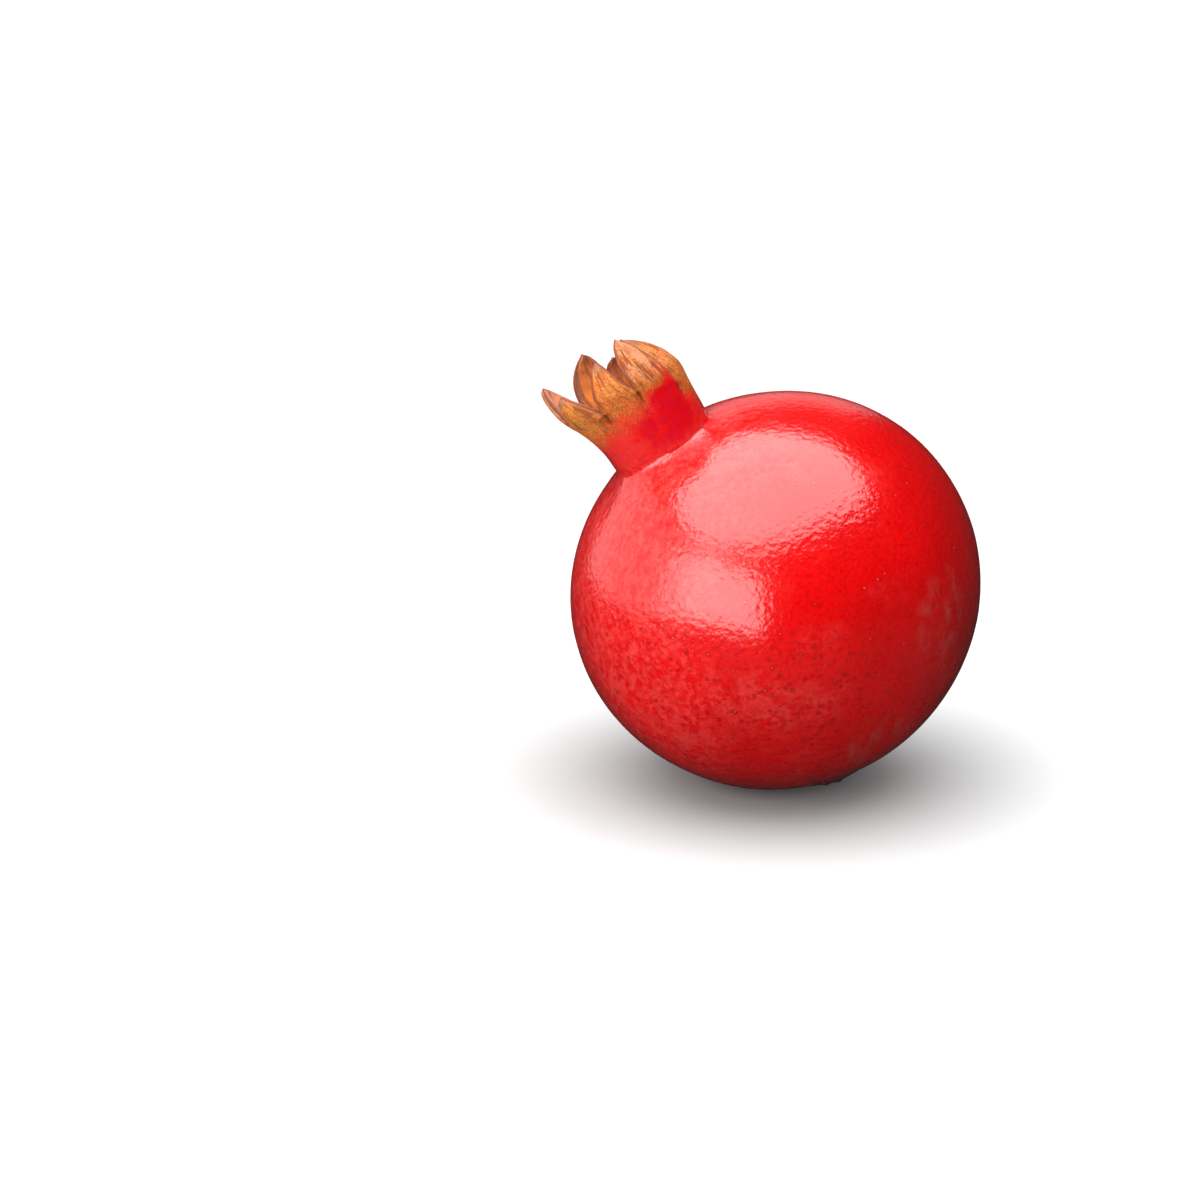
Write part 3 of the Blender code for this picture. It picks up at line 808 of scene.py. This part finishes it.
def add_stamen(tuft, stations, thin, tint):
    """A thread with a two-lobed anther on its end."""
    path = smooth_path(stations, FILAMENT_STEPS)
    thick, fine = FILAMENT_TAPER
    steps = range(FILAMENT_STEPS + 1)
    radii = [thin * (thick + (fine - thick) * step / FILAMENT_STEPS) for step in steps]
    add_tube(tuft, path, radii, FILAMENT_SIDES, side=tint)
    end, before = path[-1], path[-3]
    ahead = (end - before).normalized()
    across = ahead.orthogonal().normalized()
    for lobe in (-1, 1):
        middle = end - ahead * LOBE_OVERLAP + across * lobe * LOBE_OFFSET
        line = [middle + ahead * LOBE_HALF_LENGTH * place for place, _ in LOBE]
        widths = [LOBE_RADIUS * width for _, width in LOBE]
        add_tube(tuft, line, widths, LOBE_SIDES, side=tint, inner=1)


def add_cushion(tuft):
    """The low cushion on the cup's floor that the stamens and the style stand in."""
    profile = (
        (CUP_FLOOR + 0.4 * MM, CUP_FLOOR_RADIUS * 0.88),
        (CUP_FLOOR + 1.1 * MM, CUSHION_RADIUS * 0.88),
        (CUP_FLOOR + 1.7 * MM, CUSHION_RADIUS * 0.95),
        (CUP_FLOOR + 2.6 * MM, CUSHION_RADIUS * 0.99),
        (CUSHION_TOP - 0.5 * MM, CUSHION_RADIUS * 0.9),
        (CUSHION_TOP, CUSHION_RADIUS * 0.7),
        (CUSHION_TOP + 0.3 * MM, CUSHION_RADIUS * 0.3),
    )
    rows = []
    for height, radius in profile:
        ring = []
        for side in range(CUSHION_SIDES):
            angle = FULL_TURN * side / CUSHION_SIDES
            fold = CUSHION_FOLD * (1 + noise.noise(round_place(angle, CUSHION_FOLDS_ROUND)))
            ring.append(tuft.add(CORE.at(ROOT + height, radius * (1 - fold), angle), notch=1))
        rows.append(ring)
    tuft.join_all(rows)
    tuft.cap(rows[0], CORE.at(ROOT + profile[0][0], 0, 0), notch=1)
    tuft.cap(rows[-1], CORE.at(ROOT + CUSHION_TOP + 0.35 * MM, 0, 0), notch=1)


def make_stamen_tuft():
    tuft = Surface()
    add_cushion(tuft)
    rng = random.Random(STAMEN_SEED)
    for number in range(FILAMENTS + EXTRA_FILAMENTS):
        thin = FILAMENT_RADIUS * (1 if number < FILAMENTS else EXTRA_THINNESS)
        add_stamen(tuft, filament_stations(number, rng), thin, (number * GOLDEN_SHARE) % 1)
    style = [CORE.at(ROOT + height * MM, STYLE_OFFSET, STYLE_ANGLE) for height, _ in STYLE]
    add_tube(tuft, style, [radius * MM for _, radius in STYLE], STYLE_SIDES, side=0.5)
    piece = tuft.finish("stamen_tuft", stamen_material())
    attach(piece, "root")
    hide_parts("stamens")


def make_stem_end():
    """The woody stub, snapped off short, with its fibres and a ragged end."""
    foot = -BODY_HALF_HEIGHT + SOCKET_DEPTH - STUB_GAP
    end = -BODY_HALF_HEIGHT - STUB_RISE
    radius = SOCKET_RADIUS - STUB_GAP
    profile = [
        (foot, 0.8),
        (foot - 0.35 * MM, 0.87),
        (foot - 0.7 * MM, 0.9),
        (foot * 0.5 + end * 0.5, 0.95),
        *((end + rise * MM, share) for rise, share in STUB_END),
    ]
    wood = Surface()
    rows = []
    for number, (distance, share) in enumerate(profile):
        ring = []
        for side in range(STUB_SIDES):
            angle = FULL_TURN * side / STUB_SIDES
            fibres = 1 - STUB_FIBRE * (1 + noise.noise(round_place(angle, STUB_FIBRES_ROUND)))
            for depth, count, phase in STUB_GROOVES:
                fibres -= depth * (1 + math.cos(count * angle + phase))
            broken = number >= STUB_BREAK_ROW
            splinters = 1 + noise.noise(round_place(angle, share * STUB_SPLINTERS_ROUND))
            ragged = STUB_WAVE * math.cos(STUB_WAVES_ROUND * angle + 1.0)
            ragged = (ragged + STUB_SPLINTER * splinters) * broken
            point = CORE.at(distance + ragged, radius * share * fibres, angle)
            ring.append(wood.add(point, grain_place(angle, distance), inner=broken, share=share))
        rows.append(ring)
    wood.join_all(rows)
    wood.cap(rows[0], CORE.at(foot, 0, 0))
    wood.cap(rows[-1], CORE.at(end + 0.55 * MM, 0, 0), inner=1)
    piece = wood.finish("stem_end", wood_material())
    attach(piece, "root")
    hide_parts("stem_stub")


class Look:
    """A material's node tree. Every input may be a number, a colour or another node's output."""

    def __init__(self, name):
        self.material = bpy.data.materials.new(name)
        self.material.use_nodes = True
        self.nodes = self.material.node_tree.nodes
        self.links = self.material.node_tree.links
        self.shader = self.nodes["Principled BSDF"]
        self.place = self.node("TexCoord", {}).outputs["Object"]

    def put(self, socket, value):
        if isinstance(value, bpy.types.NodeSocket):
            self.links.new(value, socket)
        elif socket.type == "RGBA":
            socket.default_value = (*value, 1)
        else:
            socket.default_value = value

    def node(self, kind, inputs, **settings):
        """A new node of this kind, with its settings and inputs."""
        made = self.nodes.new("ShaderNode" + kind)
        for key, value in settings.items():
            setattr(made, key, value)
        for key, value in inputs.items():
            self.put(made.inputs[key], value)
        return made

    def set(self, **inputs):
        for key, value in inputs.items():
            self.put(self.shader.inputs[key.replace("_", " ")], value)

    def mark(self, name, output="Fac"):
        return self.node("Attribute", {}, attribute_name=name).outputs[output]

    def noise(self, size, detail=2.0, rough=0.5, at=None, warp=0.0):
        """Smooth noise, about 0.3 to 0.7, with features of this size."""
        inputs = {
            "Vector": at or self.place, "Scale": 1 / size, "Detail": detail,
            "Roughness": rough, "Distortion": warp,
        }
        return self.node("TexNoise", inputs).outputs["Fac"]

    def spots(self, size, share, radius, soft=0.10):
        """1 in round spots, 0 between them. share is how many cells of this size hold one, and
        soft how wide their edges are, as a share of a cell."""
        inputs = {"Vector": self.place, "Scale": 1 / size}
        cells = self.node("TexVoronoi", inputs)
        chance = self.node("SeparateColor", {"Color": cells.outputs["Color"]})
        reach = self.ramp(chance.outputs["Red"], 1 - share, 1, 0, radius)
        inward = self.calc("SUBTRACT", reach, cells.outputs["Distance"])
        return self.ramp(inward, -0.4 * soft, soft)

    def ramp(self, value, low, high, start=0.0, end=1.0):
        """A smooth step of value from low to high, given as start to end."""
        inputs = {"Value": value, "From Min": low, "From Max": high, "To Min": start, "To Max": end}
        made = self.node("MapRange", inputs, interpolation_type="SMOOTHSTEP")
        return made.outputs["Result"]

    def calc(self, operation, a, b=0.0):
        return self.node("Math", {0: a, 1: b}, operation=operation).outputs[0]

    def sum(self, a, b):
        return self.calc("ADD", a, b)

    def times(self, *values):
        result = values[0]
        for value in values[1:]:
            result = self.calc("MULTIPLY", result, value)
        return result

    def swing(self, noise, reach):
        """How far a noise is above or below its middle, times this reach."""
        return self.times(self.sum(noise, -0.5), reach)

    def mix(self, share, first, second):
        """The first colour where share is 0, and the second where it is 1."""
        inputs = {0: share, 6: first, 7: second}
        return self.node("Mix", inputs, data_type="RGBA").outputs[2]

    def over(self, colour, second, *shares):
        """The colour with a second one over it, as strong as the shares' product."""
        return self.mix(self.times(*shares), colour, second)

    def near(self, centre, radius):
        """1 at a point of the object, falling to 0 at this distance from it."""
        made = self.node("VectorMath", {0: self.place, 1: centre}, operation="DISTANCE")
        return self.ramp(made.outputs["Value"], radius, radius * 0.2)

    def bump(self, height, distance):
        inputs = {"Height": height, "Distance": distance, "Strength": 1.0}
        normal = self.node("Bump", inputs).outputs["Normal"]
        self.set(Normal=normal, Coat_Normal=normal)


def body_colour(look):
    """The red of the body, with its mottling, pores, flecks and scuffs, a painted pink sheen
    towards its left and painted shade towards its bottom.
    """
    broad = look.ramp(look.noise(30 * MM), 0.35, 0.65)
    red = look.mix(broad, DEEP_RED, BRIGHT_RED)
    split = look.node("SeparateXYZ", {"Vector": look.place})
    # Painted sheen: the pink patches spread further towards the left (-X)
    painted_left_sheen = look.ramp(split.outputs["X"], 20 * MM, -35 * MM, 0.0, 0.42)
    pink_patches_and_sheen = look.ramp(look.sum(look.noise(22 * MM, warp=0.4), painted_left_sheen), 0.50, 0.85)
    grains = look.ramp(look.noise(1.5 * MM, detail=3, rough=0.65), 0.42, 0.66)
    red = look.over(red, PINK_RED_AND_SHEEN, grains, pink_patches_and_sheen, 0.75)
    dark_grains = look.ramp(look.noise(0.9 * MM, detail=3, rough=0.6), 0.50, 0.64)
    red = look.over(red, DARK_GRAIN_AND_SHADE, dark_grains, 0.5)
    clouds = look.ramp(look.noise(4 * MM, detail=4, rough=0.65), 0.44, 0.66)
    red = look.over(red, PINK_RED_AND_SHEEN, clouds, pink_patches_and_sheen, 0.55)

    # Painted shade: the red darkens towards the bottom
    under = look.ramp(split.outputs["Z"], 34 * MM, 4 * MM, 0.0, 0.4)
    red = look.mix(under, red, DARK_GRAIN_AND_SHADE)
    low = look.ramp(split.outputs["Z"], 62 * MM, 20 * MM)
    pored = look.ramp(look.sum(low, look.noise(16 * MM)), 0.45, 1.1, 0.2, 1.0)
    pored = look.times(pored, look.ramp(split.outputs["X"], 40 * MM, 5 * MM, 0.35, 1.0))
    small_pores = look.spots(1.5 * MM, 0.8, 0.46, 0.26)
    large_pores = look.spots(2.4 * MM, 0.6, 0.34, 0.20)
    upper = look.ramp(split.outputs["Z"], 48 * MM, 68 * MM, 0.0, 0.55)
    speckled = look.calc("MAXIMUM", pored, upper)
    red = look.over(red, PORE_RED, small_pores, speckled, 0.65)
    red = look.over(red, PORE_RED, large_pores, pored, 0.6)
    flecks = look.spots(1.5 * MM, 0.4, 0.17)
    red = look.over(red, PALE_FLECK, flecks, 0.5)

    streaks = look.noise(1.1 * MM, detail=3, rough=0.6, at=look.mark("grain", "Vector"))
    rubbed = look.ramp(streaks, 0.44, 0.62)
    for way, size in SCUFFS:
        centre = BODY_CENTRE + way.normalized() * BODY_RADIUS
        ragged = look.ramp(look.noise(5 * MM, detail=3), 0.38, 0.62)
        red = look.over(red, SCUFF_PINK, look.near(centre, size), rubbed, ragged, 0.55)
    return red


def crown_colour(look, body):
    """Crimson up the tube, then ochre and orange brown, with brown rims, and painted shade in the
    crease under each notch and deep in the cup.
    """
    rise, share = look.mark("rise"), look.mark("share")
    side, inner = look.mark("side"), look.mark("inner")
    grain = look.mark("grain", "Vector")
    speckle = look.noise(0.45 * MM, detail=2, rough=0.7)
    wander = look.noise(4 * MM, detail=3)
    blotch = look.noise(1.7 * MM, detail=4, rough=0.65)
    streaks = look.noise(1.0 * MM, detail=4, rough=0.65, at=grain)

    blush = look.sum(look.mark("blush"), look.swing(wander, 1.2))
    crimson = look.mix(look.ramp(blush, 0.25, 0.75), CORAL, BRIGHT_RED)
    magenta = look.ramp(look.sum(look.times(blush, 0.6), look.times(blotch, 2)), 1.3, 1.7)
    crimson = look.mix(magenta, crimson, CRIMSON)
    crimson = look.mix(look.ramp(speckle, 0.45, 0.70, 0, 0.4), crimson, DEEP_RED)
    skin = look.mix(look.ramp(rise, 0.5, 5.0), body, crimson)

    golden = look.mix(look.mark("gold"), ORANGE_BROWN, GOLDEN)
    burnt = look.ramp(look.sum(blotch, look.swing(wander, 0.8)), 0.44, 0.62)
    golden = look.over(golden, BURNT_ORANGE, burnt, 0.6)
    olive = look.ramp(look.noise(2.6 * MM, detail=4, rough=0.6), 0.52, 0.66)
    golden = look.over(golden, OLIVE, olive, 0.75)
    pink = look.times(look.mark("pink"), look.ramp(share, 0.05, 0.6))
    golden = look.over(golden, SHELL_PINK, pink, look.ramp(blotch, 0.65, 0.40))
    light = look.ramp(speckle, 0.44, 0.70, 0, 0.45)
    golden = look.mix(light, golden, PALE_OCHRE)
    dark = look.ramp(speckle, 0.52, 0.30, 0, 0.4)
    golden = look.mix(dark, golden, RUSSET)

    lift = look.calc("SUBTRACT", rise, look.mark("red"))
    lift = look.sum(lift, look.swing(wander, 9))
    lift = look.sum(lift, look.swing(speckle, 7))
    skin = look.mix(look.ramp(lift, -4.0, 0.5), skin, ORANGE_RED)
    turned = look.ramp(lift, -2.0, 3.5)
    skin = look.mix(turned, skin, golden)

    dots = look.spots(0.7 * MM, 0.4, 0.32)
    skin = look.over(skin, RUSSET, dots, turned, 0.45)
    off_middle = look.calc("ABSOLUTE", side)
    veined = look.sum(streaks, look.times(look.ramp(off_middle, 0.5, 0.95), 0.10))
    veins = look.times(look.ramp(veined, 0.50, 0.64), look.ramp(share, 0.0, 0.3, 0.3, 0.85))
    skin = look.over(skin, RUSSET, veins, turned)

    lining = look.mix(look.ramp(streaks, 0.46, 0.64, 0, 0.8), INNER_ORANGE, RUSSET)
    lining = look.over(lining, SHELL_PINK, pink, 0.7)
    # Painted shade: the lining darkens deeper down in the cup
    deep = look.ramp(look.sum(rise, look.times(blotch, 6)), 19, 9)
    lining = look.over(lining, PAINTED_SHADE_BROWN, deep, 0.85)
    skin = look.mix(look.ramp(inner, 0.6, 0.9), skin, lining)

    rim = look.times(look.ramp(off_middle, 0.86, 1.0), look.ramp(share, 0.02, 0.3))
    tip = look.ramp(look.sum(share, look.swing(wander, 0.6)), 0.82, 1.0)
    dry = look.calc("MAXIMUM", rim, tip)
    skin = look.over(skin, GREY_BROWN, dry, look.ramp(speckle, 0.3, 0.6, 0.4, 0.8))
    outline = look.times(look.ramp(off_middle, 0.93, 1.0), look.ramp(share, 0.0, 0.1), 0.75)
    skin = look.over(skin, RUSSET, outline, look.ramp(inner, 0.5, 0.1))
    # Painted shade in the crease under each notch, and on the sepals' edges next to it
    painted_crease_shade = look.ramp(look.sum(look.mark("notch"), look.times(blotch, 0.7)), 0.80, 1.35)
    return look.over(skin, PAINTED_SHADE_BROWN, painted_crease_shade, 0.75)


def rind_material():
    """The waxy rind: smooth and glossy on the body, drier and rougher up the crown."""
    look = Look("rind")
    rise = look.mark("rise")
    colour = crown_colour(look, body_colour(look))
    dry = look.ramp(rise, 3, 12)
    patchy = look.noise(7 * MM, detail=2)
    roughness = look.sum(look.ramp(patchy, 0.35, 0.65, 0.27, 0.36), look.times(dry, 0.3))
    peel = look.noise(1.3 * MM, detail=1.5, rough=0.45)
    grit = look.noise(0.45 * MM, detail=2)
    fibres = look.noise(1.2 * MM, detail=3, rough=0.6, at=look.mark("grain", "Vector"))
    wrinkles = look.times(look.sum(fibres, look.noise(2.2 * MM, detail=3)), dry, 2.0)
    height = look.sum(look.sum(peel, look.times(grit, 0.25)), wrinkles)
    look.set(Base_Color=colour, Roughness=roughness, IOR=1.45, Specular_IOR_Level=0.12)
    look.set(Coat_Weight=look.ramp(dry, 0, 1, 1.0, 0.0), Coat_Roughness=0.15, Coat_IOR=1.62)
    look.bump(height, RIND_BUMP)
    return look.material


def stamen_material():
    """Dry tan threads with darker anthers, on a russet cushion."""
    look = Look("dried_stamens")
    tint = look.mark("side")
    thread = look.mix(tint, *THREAD_COLOURS)
    anther = look.mix(tint, *ANTHER_COLOURS)
    colour = look.mix(look.mark("inner"), thread, anther)
    colour = look.over(colour, CUSHION_RUSSET, look.mark("notch"))
    mottled = look.ramp(look.noise(0.5 * MM, detail=3), 0.45, 0.7, 0, 0.5)
    colour = look.over(colour, STAMEN_MOTTLE, mottled)
    look.set(Base_Color=colour, Roughness=0.75, Specular_IOR_Level=0.3)
    look.bump(look.noise(0.3 * MM, detail=2), STAMEN_BUMP)
    return look.material


def wood_material():
    """Dark bark on the stub's side and paler torn fibres on its end."""
    look = Look("stem_wood")
    fibres = look.noise(0.35 * MM, detail=3, at=look.mark("grain", "Vector"))
    bark = look.mix(look.ramp(fibres, 0.4, 0.65), *BARK_COLOURS)
    torn = look.mix(look.ramp(fibres, 0.4, 0.65), *TORN_COLOURS)
    colour = look.mix(look.mark("inner"), bark, torn)
    look.set(Base_Color=colour, Roughness=0.85, Specular_IOR_Level=0.3)
    look.bump(fibres, WOOD_BUMP)
    return look.material


def emission_material(name, strength):
    """Plain white light, of a strength that may come from nodes."""
    look = Look(name)
    look.nodes.remove(look.shader)
    output = look.nodes["Material Output"]
    glow = look.node("Emission", {"Color": (1, 1, 1), "Strength": strength(look)})
    look.put(output.inputs["Surface"], glow.outputs[0])
    return look, glow, output


def stage_plane(name, z, material):
    mesh = bpy.data.meshes.new(name)
    half = FLOOR_HALF
    corners = [(-half, -half, z), (half, -half, z), (half, half, z), (-half, half, z)]
    mesh.from_pydata(corners, [], [(0, 1, 2, 3)])
    mesh.materials.append(material)
    made = bpy.data.objects.new(name, mesh)
    bpy.context.scene.collection.objects.link(made)
    made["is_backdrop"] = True
    return made


def show_to_camera_only(stage_piece):
    stage_piece.visible_diffuse = False
    stage_piece.visible_glossy = False
    stage_piece.visible_transmission = False
    stage_piece.visible_shadow = False


def make_floor():
    """A white floor, and over it a veil of light for the camera's eye alone that grows with the
    distance from the fruit, so that the floor stays white where the lamps no longer reach."""
    look = Look("floor")
    look.set(Base_Color=FLOOR_COLOUR, Roughness=0.9, Specular_IOR_Level=0.0)
    floor = stage_plane("floor", -FLOOR_DROP, look.material)
    floor.visible_glossy = False

    def strength(look):
        length = look.node("VectorMath", {0: look.place}, operation="LENGTH")
        far = length.outputs["Value"]
        return look.sum(*(look.ramp(far, near, full, 0, most) for near, full, most in VEIL_STEPS))

    look, glow, output = emission_material("veil", strength)
    clear = look.node("BsdfTransparent", {"Color": (1, 1, 1)})
    both = look.node("AddShader", {0: clear.outputs[0], 1: glow.outputs[0]})
    look.put(output.inputs["Surface"], both.outputs[0])
    veil = stage_plane("veil", -VEIL_DROP, look.material)
    show_to_camera_only(veil)


def make_backdrop():
    """A white dome round the scene, seen by the camera and nothing else."""
    look, _, _ = emission_material("backdrop", lambda look: BACKDROP_STRENGTH)
    bpy.ops.mesh.primitive_uv_sphere_add(segments=48, ring_count=24, radius=BACKDROP_RADIUS)
    dome = bpy.context.object
    dome.name = "backdrop"
    dome.data.materials.append(look.material)
    dome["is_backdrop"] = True
    show_to_camera_only(dome)


def add_softbox(name, place, aim, size, radiance, shape="RECTANGLE"):
    """An area lamp that looks at a point, with an even radiance over its face."""
    data = bpy.data.lights.new(name, "AREA")
    data.shape = shape
    data.size, data.size_y = size
    area = size[0] * size[1] * (math.pi / 4 if shape == "ELLIPSE" else 1)
    data.energy = radiance * area * math.pi
    lamp = bpy.data.objects.new(name, data)
    lamp.location = place
    lamp.rotation_euler = (Vector(aim) - Vector(place)).to_track_quat("-Z", "Y").to_euler()
    lamp.visible_camera = False
    bpy.context.scene.collection.objects.link(lamp)


def make_lights():
    world = bpy.data.worlds.new("surroundings")
    world.use_nodes = True
    background = world.node_tree.nodes["Background"]
    background.inputs["Color"].default_value = (1, 1, 1, 1)
    background.inputs["Strength"].default_value = WORLD_STRENGTH
    bpy.context.scene.world = world
    below = (TOP_PLACE[0], TOP_PLACE[1], 0.0)
    add_softbox("top_softbox", TOP_PLACE, below, TOP_SIZE, TOP_RADIANCE, "ELLIPSE")
    for step in range(FRONT_STEPS):
        share = 1 - FRONT_NARROWING * step
        slide = (1 - share) * FRONT_SIZE[0] / 2
        x, y = (start + way * slide for start, way in zip(FRONT_PLACE, FRONT_WAY))
        place = (x, y, FRONT_SIZE[1] / 2 + FRONT_RISE * step)
        size = (FRONT_SIZE[0] * share, FRONT_SIZE[1] * (1 - FRONT_NARROWING * step / 2))
        radiance = FRONT_RADIANCE / FRONT_STEPS
        add_softbox(f"front_softbox_{step}", place, (0, 0, place[2]), size, radiance)
    for name, place, size, radiance in FILLS:
        add_softbox(name, place, BODY_CENTRE, size, radiance)


def make_camera():
    forward = Vector((0, math.cos(CAMERA_PITCH), -math.sin(CAMERA_PITCH)))
    up = Vector((0, math.sin(CAMERA_PITCH), math.cos(CAMERA_PITCH)))
    right = Vector((1, 0, 0))
    target = BODY_CENTRE - right * VIEW_RIGHT - up * VIEW_UP
    data = bpy.data.cameras.new("camera")
    data.lens = CAMERA_LENS
    data.sensor_width = CAMERA_SENSOR
    camera = bpy.data.objects.new("camera", data)
    turned = Matrix((right, up, -forward)).transposed().to_4x4()
    camera.matrix_world = Matrix.Translation(target - forward * CAMERA_DISTANCE) @ turned
    bpy.context.scene.collection.objects.link(camera)
    bpy.context.scene.camera = camera
    bpy.context.scene.view_settings.view_transform = "Standard"


make_camera()
make_lights()
make_floor()
make_backdrop()
make_fruit_skin()
make_stamen_tuft()
make_stem_end()

boxes = {"cad": CAD_BOX, "visual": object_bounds()}
boxes = {name: [list(corner) for corner in box] for name, box in boxes.items()}
